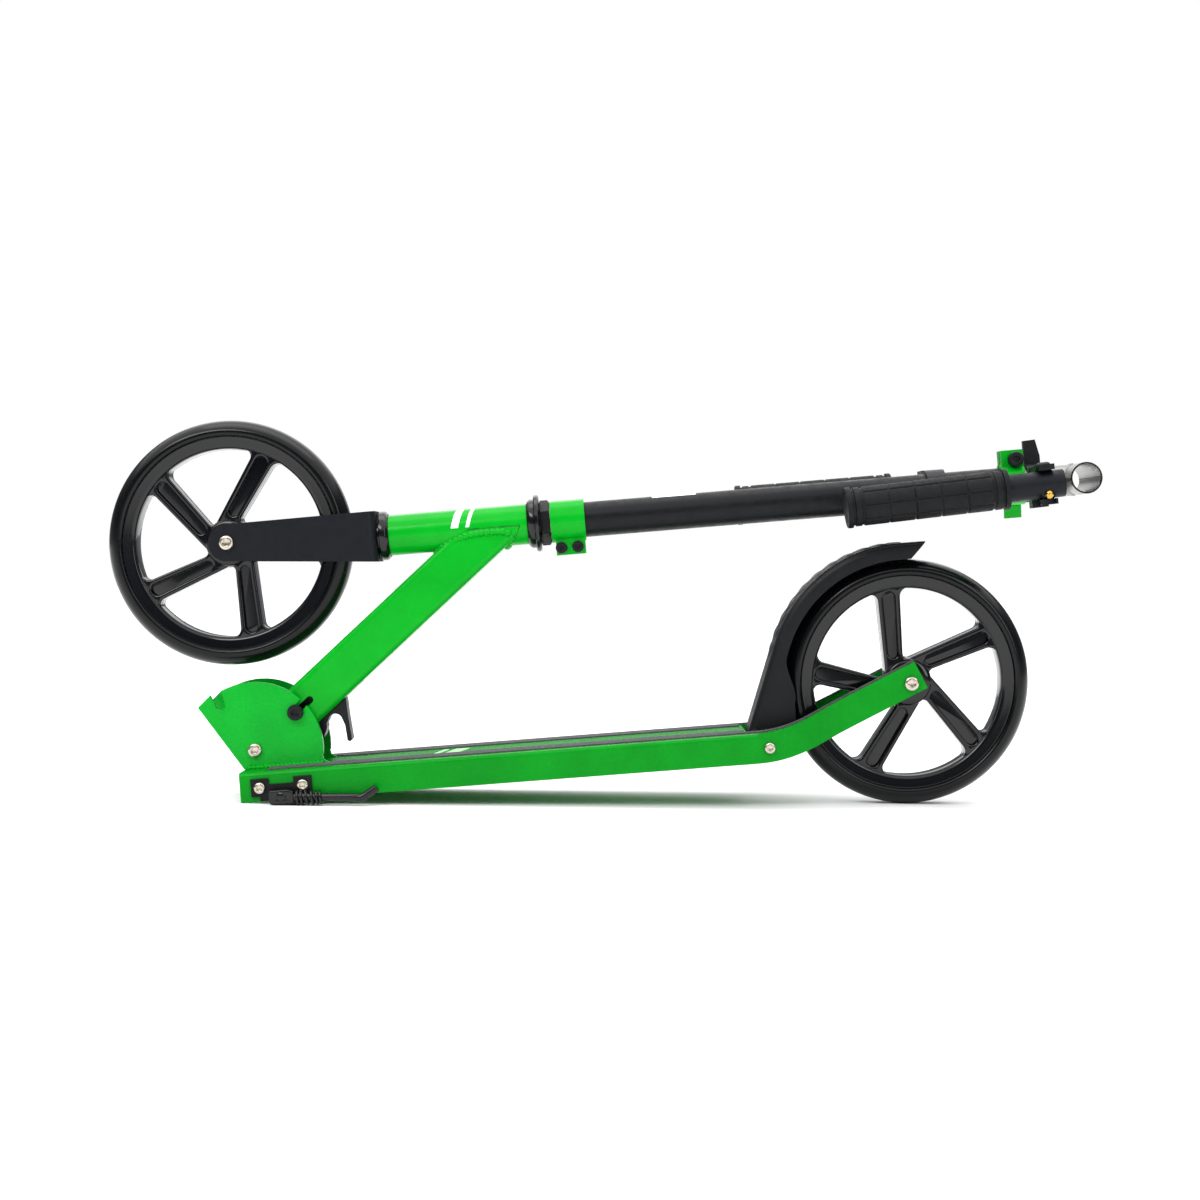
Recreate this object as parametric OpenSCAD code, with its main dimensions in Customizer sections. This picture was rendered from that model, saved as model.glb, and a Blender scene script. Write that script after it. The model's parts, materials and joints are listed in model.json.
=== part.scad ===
// Folding kick scooter, in millimetres, in its folded pose.
// +X runs towards the rear wheel, +Y to the rider's right, +Z up; the floor is z = 0 and the mid-plane y = 0.
// Three frames are used: the row frame, the deck frame and the stem frame. The last two start at the hinge.

/* [Wheels] */
// Outer diameter of both tyres
wheel_d = 200; // [198:0.5:202]
// Width of a tyre
tyre_w = 30; // [28:1:31]
// Radius where the tyre meets the rim
rim_r = 86; // [85:0.5:87]
// Inner radius of the rim's ring
ring_r = 78.5; // [77:0.5:80]
// Width of a spoke
spoke_w = 17; // [15:1:20]
// Radius of the wheel's hub
hub_r = 20; // [18:0.5:21]

/* [Deck] */
// Width of the deck
deck_w = 112; // [108:1:114]
// Height of the deck's channel
deck_h = 23.6; // [23:0.1:24]
// Wall thickness of the deck
deck_wall = 3; // [2.5:0.1:3]
// Rise angle of the rear rails
rail_rise = 23; // [22.5:0.1:23.5]
// Width of the deck where it holds the rear axle
tail_w = 63; // [62:0.5:64]

/* [Fold] */
// Radius of the hinge plates' round edge
plate_r = 55.3; // [55:0.1:56]
// Width over the two hinge plates
plates_w = 49; // [48.6:0.2:49.4]
// Angle of the stem above the deck when folded
stem_lift = 0.33; // [0.3:0.01:0.4]

/* [Stem] */
// Distance of the steering axis from the fold hinge
axis_n = 164.5; // [164:0.5:165]
// Outer diameter of the head tube
head_d = 33; // [32.5:0.1:33.4]
// Outer diameter of the lower stem tube
stem_d = 28.6; // [28.5:0.1:28.7]
// Outer diameter of the upright tube
upright_d = 25; // [24.8:0.1:25]
// Outer diameter of the cross tube
cross_d = 25.4; // [25.2:0.1:25.6]
// Inner diameter of the cross tube
cross_bore = 22.6; // [22.5:0.1:22.8]
// Length of the cross tube
cross_l = 73; // [72:0.5:74]
// Place of the cross tube along the stem
cross_s = 684.3; // [683:0.5:686]

/* [Grips] */
// Outer diameter of a grip
grip_d = 31.5; // [31:0.1:32]
// Length of a grip
grip_l = 130; // [126:1:132]
// Diameter of a grip's metal tube
grip_tube_d = 22.2; // [22.1:0.05:22.3]
// Distance of the stowed grips from the mid-plane
grip_y = 38; // [37.8:0.1:38.2]

/* [Hidden] */
$fn = 48;
eps = 0.01;
run_gap = 0.05;
black = [0.07, 0.07, 0.08];
green = [0.02, 0.68, 0.27];
silver = [0.78, 0.77, 0.74];
brass = [0.75, 0.6, 0.25];

// Deck frame: x rearward along the deck, z up, from the fold hinge
front_x = -9;
deck_top = -14.8;
deck_bottom = deck_top - deck_h;
deck_half = deck_w / 2;
bend_x = 403;
bend_r = 118;
bend_end_x = bend_x + bend_r * sin(rail_rise);
bend_end_z = deck_top + bend_r * (1 - cos(rail_rise));
tail_x = 536;
tail_z = bend_end_z + (tail_x - bend_end_x) * tan(rail_rise);
gap_x = 397;
rear_axle = [532.4, 14.1];
wheel_r = wheel_d / 2;

// Row frame: the deck's front bottom edge and the rear tyre both touch the floor
stand_dx = rear_axle.x - front_x;
stand_dz = rear_axle.y - deck_bottom;
deck_pitch = asin(wheel_r / norm([stand_dx, stand_dz])) - atan2(stand_dz, stand_dx);
stem_pitch = deck_pitch + stem_lift;
hinge_x = -277;
hinge_z = -(front_x * sin(deck_pitch) + deck_bottom * cos(deck_pitch));

// Stem frame: x along the stem, z square to it
front_axle = [-8.8, 169.1];
tube_lift = 38.4;
tube_h = 36;
tube_w = 33;
tube_wall = 2.5;
plate_t = 4;
plate_in = plates_w / 2 - plate_t;
pin_at = 45;
pin_travel = 13;

module in_deck() translate([hinge_x, 0, hinge_z]) rotate([0, -deck_pitch, 0]) children();
module in_stem() translate([hinge_x, 0, hinge_z]) rotate([0, -stem_pitch, 0]) children();
module in_tube() in_stem() rotate([0, -tube_lift, 0]) children();
// Local z runs along the steering axis, local x points to the underside
module on_axis(s) in_stem() translate([s, 0, axis_n]) rotate([0, 90, 0]) children();
// A side view outline made solid from y0 to y1
module slab(y0, y1) translate([0, y1, 0]) rotate([90, 0, 0]) linear_extrude(y1 - y0) children();
module both_sides() {
    children();
    mirror([0, 1, 0]) children();
}
module disc_y(p, r, y0, y1) translate([p.x, y1, p.y]) rotate([90, 0, 0]) cylinder(r=r, h=y1 - y0);
module ring(r_out, r_in, h) difference() {
    cylinder(r=r_out, h=h);
    translate([0, 0, -1]) cylinder(r=r_in, h=h + 2);
}
module round_box(w, h, r) {
    for (x = [r - w / 2, w / 2 - r], y = [r - h / 2, h / 2 - r]) translate([x, y]) circle(r);
    square([w - 2 * r, h], center=true);
    square([w, h - 2 * r], center=true);
}

// ---- Deck ----
function polar(a) = [cos(a), sin(a)];
function arc(c, r, a0, a1, n) = [for (i = [0:n]) c + r * polar(a0 + (a1 - a0) * i / n)];
function ease(t) = (1 - cos(180 * min(max(t, 0), 1))) / 2;
bend_c = [bend_x, deck_top + bend_r];
tail_out = tail_w / 2;
tail_in = tail_out - 11;
neck_x = 405;
neck_l = 75;
function outer_y(x) = deck_half - (deck_half - tail_out) * ease((x - neck_x) / neck_l);
function inner_y(x) = outer_y(x) - 20 + 9 * ease((x - neck_x) / neck_l);

// Side view between two depths below the deck's top line
module side_strip(top, bottom) {
    drop = [sin(rail_rise), -cos(rail_rise)];
    tail = [tail_x, tail_z];
    polygon(concat([[front_x, deck_top - bottom]],
        [[front_x, deck_top - top]],
        arc(bend_c, bend_r + top, -90, rail_rise - 90, 8),
        [tail + top * drop, tail + bottom * drop],
        arc(bend_c, bend_r + bottom, rail_rise - 90, -90, 8)));
}
// A point list followed by its mirror image, as a closed outline
function mirrored(p) = concat(p, [for (i = [len(p) - 1:-1:0]) [p[i].x, -p[i].y]]);
// Plan view of the deck and its two rails, drawn in by a margin
module deck_plan(m) {
    xs = [for (i = [0:10]) neck_x + neck_l * i / 10];
    far = tail_x + 20;
    difference() {
        polygon(mirrored(concat([[front_x - 1, deck_half - m]], [for (x = xs) [x, outer_y(x) - m]],
            [[far, tail_out - m]])));
        polygon(mirrored(concat([[gap_x - m, inner_y(gap_x) + m]], [for (x = xs) [x, inner_y(x) + m]],
            [[far + 1, tail_in + m]])));
    }
}
module plan_solid(m) translate([0, 0, -60]) linear_extrude(120) deck_plan(m);

module deck() color(green) in_deck() difference() {
    intersection() {
        plan_solid(0);
        slab(-deck_half, deck_half) side_strip(0, deck_h);
    }
    intersection() {
        plan_solid(deck_wall);
        slab(-deck_half, deck_half) side_strip(deck_wall, deck_h + 30);
    }
    disc_y(rear_axle, 4, -deck_half, deck_half);
    disc_y(fender_pivot, 3, -deck_half - 1, deck_half + 1);
    for (p = [stand_bolts_at[0], stand_bolts_at[1], stand_pivot]) disc_y(p, stand_hole_r, -deck_half - 1, 0);
    both_sides() edge_cut();
}
// Rounds the deck's long top edges
module edge_cut() {
    r = 3.5;
    translate([front_x - 1, -deck_half, deck_top]) rotate([90, 0, 90]) linear_extrude(neck_x - front_x + 1)
        difference() {
            translate([-1, -r]) square([r + 1, r + 1]);
            translate([r, -r]) circle(r);
        }
}
plate_foot = deck_top + eps;
module plate_outline() {
    heel = [sqrt(plate_r * plate_r - plate_foot * plate_foot), plate_foot];
    flare = 7;
    difference() {
        polygon(concat([[front_x - 1, plate_foot], [-43.5, 37.8], [-32.4, 47.4]],
            arc([0, 0], plate_r, 114, -8, 24), [[heel.x + 0.6, heel.y + flare], [heel.x + 1.6, heel.y + 3],
            [heel.x + flare, heel.y]]));
        notch(119.3, 123.5, 8);
        notch(41.5, 38.9, 6.5);
    }
}
// A slot from the round edge at mouth angle a to its end at angle b
module notch(a, b, w) {
    end_p = 45.5 * polar(b);
    mouth_p = 62 * polar(a);
    dir = (mouth_p - end_p) / norm(mouth_p - end_p);
    side = w / 2 * [-dir.y, dir.x];
    turn = atan2(dir.y, dir.x);
    flare = 1.25 * side;
    polygon(concat(arc(end_p, w / 2, turn + 90, turn + 270, 8), [mouth_p - flare, mouth_p + flare]));
}
module hinge_plates() color(green) in_deck() difference() {
    both_sides() slab(plate_in, plate_in + plate_t) plate_outline();
    disc_y([0, 0], 4, -40, 40);
}

tape_t = 1;
tape_out = 46;
module tape_plan() {
    rail_step = neck_l / 10;
    polygon(concat([[12, 27], [64, 27], [64, 22], [gap_x - 2, 22], [gap_x - 2, inner_y(gap_x) + 1.5]],
        [for (i = [0:10]) [neck_x + rail_step * i, inner_y(neck_x + rail_step * i) + 1.5]],
        [[tail_x, tail_in + 1.5], [tail_x, tail_out - 3]],
        [for (i = [10:-1:0]) [neck_x + rail_step * i, outer_y(neck_x + rail_step * i) - 10 + 0.7 * i]],
        [[12, tape_out]]));
}
module grip_tape() color([0.2, 0.2, 0.21]) in_deck() both_sides() intersection() {
    slab(0, deck_half) side_strip(-tape_t, 0);
    translate([0, 0, -60]) linear_extrude(120) tape_plan();
}
module bolt_y(p, r, head_r, near, far, head_h, nut_h) {
    disc_y(p, r, near, far);
    disc_y(p, head_r, near - head_h, near);
    translate([p.x, far + nut_h, p.y]) rotate([90, 0, 0]) cylinder(r=head_r * 1.15, h=nut_h, $fn=6);
}
module hinge_bolt() color(silver) in_deck() bolt_y([0, 0], 4, 5.75, -plates_w / 2, plates_w / 2, 4, 5);
module rear_axle_bolt() color(silver) in_deck() bolt_y(rear_axle, 4, 5.9, -tail_out, tail_out, 4, 5);
hub_half = 15;
module spacers(p, out) both_sides() difference() {
    disc_y(p, 7, hub_half + 0.3, out);
    disc_y(p, 4, 0, out + 1);
}
module rear_spacers() color(silver) in_deck() spacers(rear_axle, tail_in);

// ---- Fender ----
fender_pivot = [413, -26.5];
crown_r = 114;
fender_t = 3;
fender_half = 21;
skirt_r = 102;
tip_a = 80;
lean_a = 159;
foot_p = [398, -14.6];
module fender_side(inset) {
    r = crown_r - inset;
    difference() {
        union() {
            intersection() {
                translate(rear_axle) circle(r, $fn=120);
                translate(rear_axle) polygon([[0, 0], 300 * polar(tip_a), [-110, 300], [-300, 200],
                    300 * polar(lean_a)]);
            }
            polygon([rear_axle, rear_axle + r * polar(lean_a), foot_p + [inset, 0],
                fender_pivot + [-7 + inset, 0], fender_pivot + [8, 0], [440, -14.6]]);
            translate(fender_pivot) circle(7 - inset / 2);
        }
        translate(rear_axle) circle(skirt_r, $fn=120);
    }
}
module fender() color(black) in_deck() difference() {
    slab(-fender_half, fender_half) fender_side(0);
    slab(-fender_half + 2.5, fender_half - 2.5) union() {
        fender_side(fender_t);
        translate(rear_axle) circle(crown_r - fender_t, $fn=120);
        translate([404, -40]) square([60, 26]);
    }
    disc_y(fender_pivot, 3 + run_gap, -30, 30);
}
// The heads sit on the widest part of the curved rail
fender_bolt_y = deck_half + 0.1;
module fender_bolt() color(silver) in_deck() bolt_y(fender_pivot, 3, 4.3, -fender_bolt_y, fender_bolt_y, 3, 6);
module coil_ring(r, wire) rotate_extrude() translate([r, 0]) circle(r=wire, $fn=16);
module fender_spring() color(silver) in_deck() translate([fender_pivot.x, 0, fender_pivot.y]) {
    for (i = [-1:1]) translate([0, i * 1.5, 0]) rotate([90, 0, 0]) coil_ring(4.6, 0.9);
    translate([-5.4, 0, 0]) rotate([0, -8, 0]) cylinder(r=0.9, h=8);
}

// ---- Kickstand, on the near side ----
stand_bolts_at = [[7.2, -27.3], [41.3, -27.3]];
stand_hole_r = 2.5;
stand_pivot = [25.2, -34.2];
stand_y = -64.2;
bracket_y = -58;
module stand_bracket() color(black) in_deck() difference() {
    slab(bracket_y, -deck_half) union() {
        for (p = stand_bolts_at) translate(p - [7.2, 7]) square([14.4, 14.2]);
        translate([7, stand_bolts_at[0].y - 10.6]) square([36, 13]);
    }
    for (p = stand_bolts_at) disc_y(p, stand_hole_r, -80, 0);
    disc_y(stand_pivot, stand_hole_r, -80, 0);
}
module stand_bolts() color(silver) in_deck() for (p = stand_bolts_at)
    bolt_y(p, stand_hole_r, 4.4, bracket_y, -deck_half + deck_wall, 3, 3.5);
rivet_y = -68.6;
module stand_rivet() color(silver) in_deck() {
    disc_y(stand_pivot, stand_hole_r, rivet_y, -deck_half + deck_wall);
    disc_y(stand_pivot, 3.4, rivet_y - 1.2, rivet_y);
}
// The leg is a rod in two lengths: from its seat in the block to the bend, and up to its tip
stand_seat = [29.2, -35.7];
stand_bend = [86, -39.6];
stand_tip = [99.5, -34];
leg_r = 3.2;
module rod_y(a, b, r) translate([a.x, stand_y, a.y]) rotate([0, 90 - atan2(b.y - a.y, b.x - a.x), 0])
    cylinder(r=r, h=norm(b - a));
module stand_block() color(black) in_deck() difference() {
    slab(rivet_y + 0.2, bracket_y - 0.4) translate([15.2, -40]) square([19.6, 11]);
    disc_y(stand_pivot, stand_hole_r + run_gap, -80, 0);
    rod_y(stand_seat, stand_bend, leg_r + run_gap);
}
module stand_leg() color(black) in_deck() {
    rod_y(stand_seat, stand_bend, leg_r);
    rod_y(stand_bend - [1.4, 0.6], stand_tip, leg_r - 0.1);
}
module stand_spring() color(black) in_deck() for (i = [0:5])
    translate([37 + 3.7 * i, stand_y, -36.3 - 0.24 * i]) rotate([0, 93, 0]) coil_ring(4.65, 1.2);

// ---- Stem side of the fold ----
module tube_section(m) round_box(tube_h - 2 * m, tube_w - 2 * m, 5 - m);
module along_tube(t) in_tube() translate([t, 0, 0]) rotate([0, 90, 0]) children();
tube_start = 5;
module down_tube() color(green) difference() {
    union() {
        intersection() {
            along_tube(tube_start) linear_extrude(300) tube_section(0);
            in_stem() translate([-100, -50, -100]) cube([500, 100, 100 + axis_n]);
        }
        in_tube() disc_y([0, 0], 14, -tube_w / 2, tube_w / 2);
    }
    along_tube(16) linear_extrude(300) tube_section(tube_wall);
    along_hole(6);
    on_axis(0) cylinder(d=head_d, h=400);
    in_tube() slab(-40, 40) {
        translate([pin_at, 0]) circle(2.9);
        translate([pin_at + pin_travel + 1, 0]) circle(2.9);
        translate([pin_at, -2.9]) square([pin_travel + 1, 5.8]);
    }
    in_tube() translate([52, -trigger_neck - 0.5, -20]) cube([48, 2 * trigger_neck + 1, 12]);
}
module along_hole(r) in_tube() disc_y([0, 0], r, -40, 40);
module head_tube() color(green) on_axis(121) ring(head_d / 2, 13.6, 113);
cup_r = 20;
module cup() difference() {
    cylinder(r=cup_r, h=7.6);
    translate([0, 0, -1]) cylinder(r=13.6, h=20);
    translate([0, 0, -1]) cylinder(r=17, h=6.8);
}
module headset_cups() color(black) {
    on_axis(113.4) cup();
    on_axis(241.6) mirror([0, 0, 1]) cup();
}
module hinge_bushes() color([0.85, 0.85, 0.82]) in_tube() both_sides() difference() {
    union() {
        disc_y([0, 0], 6, 8, tube_w / 2);
        disc_y([0, 0], 11, tube_w / 2, plate_in - 0.3);
    }
    disc_y([0, 0], 4 + run_gap, 0, 50);
}
module lock_pin() color(silver) in_tube() disc_y([pin_at, 0], 2.75, -plate_in + 0.3, plate_in - 0.3);
module pin_heads() color(black) in_tube() both_sides() difference() {
    disc_y([pin_at, 0], 6.5, plates_w / 2 + 0.3, plates_w / 2 + 5.3);
    translate([pin_at, plates_w / 2 + 8, 0]) rotate([90, 0, 0]) cylinder(r=2.8, h=5, $fn=6);
}
// The trigger: a carrier inside the tube, a neck through its slot and a wide fork for a finger or toe
trigger_neck = 3.5;
trigger_half = 8;
arch_c = [61.3, -26.4];
arch_r = 5.7;
module release_trigger() color(black) in_tube() difference() {
    union() {
        slab(-trigger_neck, trigger_neck) {
            translate([39, -9]) square([42, 18]);
            translate([56, -20]) square([23, 13]);
        }
        slab(-trigger_half, trigger_half) polygon(concat(
            [[50.7, -18.4], [80.5, -18.4], [72, -30], [61, -46.5], [58.5, -47], [57.6, -44.8], [64.7, -34.3]],
            arc(arch_c, arch_r, -20, 130, 10), [[54.6, -23], [53, -25.4], [49.9, -27.6], [45.3, -29.6],
            [48.3, -22]]));
    }
    disc_y([pin_at, 0], 2.75, -10, 10);
}
module latch_spring() color(silver) along_tube(83) for (i = [0:7]) translate([0, 0, 2 * i]) coil_ring(5, 1.1);

// ---- Steering column ----
fork_in = 19.5;
fork_out = 24;
crown_s = 107;
crown_top = 112;
leg_half = 20.6;
module fork() color(black) in_stem() difference() {
    intersection() {
        slab(-30, 30) union() {
            polygon([[crown_top, axis_n + leg_half], [front_axle.x, front_axle.y + 15],
                [front_axle.x, front_axle.y - 15], [crown_top, axis_n - leg_half]]);
            translate(front_axle) circle(15);
        }
        translate([0, 0, 100]) linear_extrude(120) difference() {
            fork_plan(fork_out, crown_top, 8);
            fork_plan(fork_in, crown_s, 3.5);
        }
    }
    translate([0, 0, axis_n]) rotate([0, 90, 0]) cylinder(r=13, h=200);
    disc_y(front_axle, 4, -40, 40);
}
module fork_plan(half, top, r) {
    translate([-60, -half]) square([top - r + 60, 2 * half]);
    translate([-60, r - half]) square([top + 60, 2 * half - 2 * r]);
    for (y = [-1, 1]) translate([top - r, y * (half - r)]) circle(r);
}
module crown_race() color(black) on_axis(crown_top) ring(16, 13, 1.5);
module steerer() color(silver) on_axis(crown_s) ring(13, 11, 176);
module headset_bearings() color(silver) {
    on_axis(113.6) ring(16.95, 13, 5.2);
    on_axis(236.2) ring(16.95, 13, 5.2);
}
module dust_washer() color(black) on_axis(242) ring(23, 13, 2.4);
module lock_nut() color(black) on_axis(244.5) difference() {
    cylinder(d=32 / cos(30), h=8.2, $fn=6);
    translate([0, 0, -1]) cylinder(r=13, h=12);
}
clamp_in = stem_d / 2;
screw_at = [7.3, 20.7];
module stem_clamp() color(green) on_axis(253) difference() {
    union() {
        cylinder(r=17, h=28);
        translate([12, -9, 3]) cube([15.5, 18, 24]);
    }
    translate([0, 0, -1]) cylinder(r=clamp_in, h=40);
    translate([10, -1.2, -1]) cube([20, 2.4, 40]);
    for (z = screw_at) translate([21.5, 20, z]) rotate([90, 0, 0]) cylinder(r=2.5, h=40);
}
module clamp_screws() color(black) on_axis(253) for (z = screw_at) translate([21.5, 0, z])
    rotate([90, 0, 0]) {
    translate([0, 0, -13]) cylinder(r=2.5, h=22);
    translate([0, 0, -13]) cylinder(r=4.4, h=4, $fn=6);
    translate([0, 0, 9]) difference() {
        cylinder(r=4.85, h=4.8);
        translate([0, 0, 2]) cylinder(r=2.3, h=4, $fn=6);
    }
}
lower_end = 637;
module lower_tube() color(black) on_axis(253) ring(stem_d / 2, 13.1, lower_end - 253);
bush_s = 600;
module tube_bush() color([0.15, 0.15, 0.16]) on_axis(bush_s)
    ring(13.1, upright_d / 2 + run_gap, lower_end - bush_s);
collar_s = 622;
collar_l = 18.6;
clamp_s = 634;
clamp_up = 20;
ear_out = 9;
module clamp_collar() color(green) difference() {
    on_axis(collar_s) difference() {
        union() {
            cylinder(r=17, h=collar_l);
            translate([-28, -ear_out, 1]) cube([16, 2 * ear_out, collar_l - 1]);
        }
        translate([0, 0, -1]) cylinder(r=clamp_in, h=40);
        translate([-40, -1.5, -1]) cube([30, 3, 40]);
    }
    in_stem() disc_y([clamp_s, axis_n + clamp_up], 3, -40, 40);
}
// Bolt with a round head, and an eye inside the lever's cam
lever_y = 13.5;
pin_r = 1.5;
module clamp_bolt() color(black) in_stem() {
    disc_y([clamp_s, axis_n + clamp_up], 3, -ear_out, lever_y - 2);
    difference() {
        disc_y([clamp_s, axis_n + clamp_up], 6.25, -ear_out - 6, -ear_out);
        translate([clamp_s, -ear_out - 3, axis_n + clamp_up]) rotate([90, 0, 0]) cylinder(r=2.6, h=6, $fn=6);
    }
    translate([clamp_s - 3, lever_y, axis_n + clamp_up]) rotate([0, 90, 0]) ring(3.4, pin_r, 6);
}
// Quick-release lever: a cam barrel on a pin, and a plate that wraps round the collar to a tail under it
lever_w = 14;
lever_r = 18.2;
lever_t = 2.4;
cam_r = 4;
tail_a = 75;
module lever_outline() {
    inner = lever_r * polar(tail_a);
    outer = (lever_r + lever_t) * polar(tail_a);
    run = 13 * [sin(tail_a), -cos(tail_a)];
    polygon([inner, inner + run, inner + run + [10, 2.6], inner + run + [9.4, 5.2], outer + run, outer]);
    polygon([[-clamp_up, lever_y - cam_r], [-clamp_up, lever_y + cam_r], [-10, 18.2], [-11, 15],
        [-15.2, 10.4]]);
}
module clamp_lever() color(green) on_axis(clamp_s - lever_w / 2) difference() {
    union() {
        translate([-clamp_up, lever_y, 0]) cylinder(r=cam_r, h=lever_w);
        linear_extrude(lever_w) lever_outline();
        intersection() {
            ring(lever_r + lever_t, lever_r, lever_w);
            linear_extrude(lever_w) polygon([[0, 0], 50 * polar(tail_a - 1), [-10, 50], [-45, 38]]);
        }
    }
    translate([-clamp_up, lever_y, -1]) cylinder(r=pin_r, h=lever_w + 2);
    translate([-clamp_up - 6, lever_y - 6, lever_w / 2 - 3.4]) cube([9.6, 12, 6.8]);
}
module lever_pin() color(silver) on_axis(clamp_s - lever_w / 2) translate([-clamp_up, lever_y, 0])
    cylinder(r=pin_r - run_gap, h=lever_w);
axle_head = 4;
module front_axle_bolt() color(silver) in_stem()
    bolt_y(front_axle, 4, 6, -fork_out, fork_out, axle_head, 5);
module front_spacers() color(silver) in_stem() spacers(front_axle, fork_in);

// ---- Handlebar ----
upright_start = 400;
module upright_tube() color(silver) difference() {
    on_axis(upright_start) ring(upright_d / 2, upright_d / 2 - 1.5, cross_s - upright_start);
    in_stem() disc_y([cross_s, axis_n], cross_d / 2, -40, 40);
}
detent_y = cross_l / 2 - 15;
module cross_tube() color(silver) in_stem() difference() {
    disc_y([cross_s, axis_n], cross_d / 2, -cross_l / 2, cross_l / 2);
    disc_y([cross_s, axis_n], cross_bore / 2, -cross_l, cross_l);
    for (y = [-detent_y, detent_y]) translate([cross_s, y, axis_n - 20]) cylinder(r=3.8, h=20);
}

// Stowed grips: local z runs from the tube's open end to the grip's outer end, local x is up
near_end = [665, axis_n - 2.4];
far_end = [583, axis_n + 2];
near_tilt = 2;
far_tilt = 0;
stub = 45;
module stowed(p, side, tilt) in_stem()
    translate([p.x, side * grip_y, p.y]) rotate([0, -90 - tilt, 0]) children();
module grip_body() difference() {
    union() {
        translate([0, 0, stub]) cylinder(d=grip_d, h=grip_l);
        translate([0, 0, stub]) cylinder(d=33, h=5);
        translate([0, 0, stub + grip_l - 5]) cylinder(d=33, h=5);
    }
    translate([0, 0, stub - 1]) cylinder(d=grip_tube_d, h=grip_l - 3);
    for (z = [8, 13, grip_l - 12]) translate([0, 0, stub + z]) ring(20, grip_d / 2 - 1, 2.4);
}
button_at = 14;
button_turn = 43;
module at_button(side) translate([0, 0, button_at]) rotate([0, 0, side * (90 + button_turn)])
    rotate([0, 90, 0]) children();
module grip_tube(side) difference() {
    ring(grip_tube_d / 2, grip_tube_d / 2 - 1.6, stub + grip_l - 4);
    at_button(side) cylinder(r=3.55, h=20);
}
module button(side) at_button(side) {
    translate([0, 0, 5]) cylinder(r=3.5, h=6.6);
    intersection() {
        translate([0, 0, 11.6]) sphere(3.5);
        translate([0, 0, 11.6]) cylinder(r=3.5, h=2.6);
    }
}
module near_grip() color(black) stowed(near_end, -1, near_tilt) grip_body();
module near_grip_tube() color(black) stowed(near_end, -1, near_tilt) grip_tube(-1);
module near_button() color(brass) stowed(near_end, -1, near_tilt) button(-1);
module far_grip() color(black) stowed(far_end, 1, far_tilt) grip_body();
module far_grip_tube() color(black) stowed(far_end, 1, far_tilt) grip_tube(1);
module far_button() color(brass) stowed(far_end, 1, far_tilt) button(1);

// A clip on a tube of radius r: a ring, a bridge and two fingers round the stowed grip tube
clip_z = 8;
clip_l = 13;
module clip(p, side, tilt, r) {
    seat = grip_tube_d / 2 + 0.4;
    difference() {
        union() {
            on_axis(p.x - clip_z - clip_l - 1) cylinder(r=r + 3, h=clip_l + 2);
            stowed(p, side, tilt) scale([1, -side, 1]) {
                translate([-seat - 4, 0, clip_z]) cube([2 * seat + 8, grip_y - r, clip_l]);
                translate([seat, -11, clip_z]) cube([4.6, 20, clip_l - 1]);
                translate([-seat - 4.6, -11, clip_z]) cube([4.6, 20, clip_l]);
                translate([-seat - 6, 2, clip_z + 5]) cube([6, 12, clip_l]);
            }
        }
        on_axis(0) cylinder(r=r, h=900);
        stowed(p, side, tilt) {
            translate([0, 0, -1]) cylinder(r=seat, h=60);
            scale([1, -side, 1]) {
                translate([-seat, -40, -1]) cube([2 * seat, 40, 60]);
                translate([-30, -40, button_at - 4.5]) cube([30, 36.5, 9]);
            }
        }
    }
}
// The near clip also has an upright fin on its far side
module near_clip() color(black) {
    clip(near_end, -1, near_tilt, upright_d / 2);
    in_stem() difference() {
        slab(6, 11) polygon([[644.5, axis_n + 8], [644.5, axis_n + 35], [654.5, axis_n + 35.5],
            [657.5, axis_n + 22], [657.5, axis_n + 8]]);
        translate([0, 0, axis_n]) rotate([0, 90, 0]) cylinder(d=upright_d, h=900);
    }
}
module far_clip() color(black) clip(far_end, 1, far_tilt, stem_d / 2);

// ---- Wheels ----
front_phase = 61.4;
rear_phase = 23.3;
bearing_r = 11;
bearing_w = 7;
// Local z is the axle; the phase is the angle of the first spoke above the horizontal
module at_wheel(c, pitch, phase) translate([c.x, 0, c.y]) rotate([90, 0, 0]) rotate([0, 0, phase - pitch])
    children();
module at_front() in_stem() at_wheel(front_axle, stem_pitch, front_phase) children();
module at_rear() in_deck() at_wheel(rear_axle, deck_pitch, rear_phase) children();
crown_c = 83;
channel_w = 8;
// Spokes run past the wheel's centre by this much, as on a pinwheel
spoke_off = 9.7;
spoke_start = 9.5;
module tyre() rotate_extrude($fn=128) intersection() {
    translate([rim_r, -tyre_w / 2]) square([20, tyre_w]);
    translate([crown_c, 0]) circle(wheel_r - crown_c);
}
module rim() difference() {
    union() {
        rotate_extrude($fn=128) translate([ring_r, -12.5]) square([rim_r - ring_r, 25]);
        rotate_extrude() translate([9, -hub_half]) square([hub_r - 9, 2 * hub_half]);
        for (i = [0:4]) rotate([0, 0, 72 * i]) translate([spoke_start, spoke_off - spoke_w / 2, -10])
            cube([ring_r - spoke_start + 2, spoke_w, 20]);
    }
    for (m = [0, 1]) mirror([0, 0, m]) {
        translate([0, 0, hub_half - bearing_w]) cylinder(r=bearing_r, h=20);
        for (i = [0:4]) rotate([0, 0, 72 * i]) translate([hub_r + 4, spoke_off - channel_w / 2, 7])
            cube([ring_r - hub_r - 10, channel_w, 10]);
    }
}
module bearings() for (m = [0, 1]) mirror([0, 0, m]) translate([0, 0, hub_half - bearing_w])
    ring(bearing_r, 4 + run_gap, bearing_w);
sleeve_l = 2 * (hub_half - bearing_w);
module sleeve() translate([0, 0, -sleeve_l / 2]) ring(6, 4 + run_gap, sleeve_l);

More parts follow.
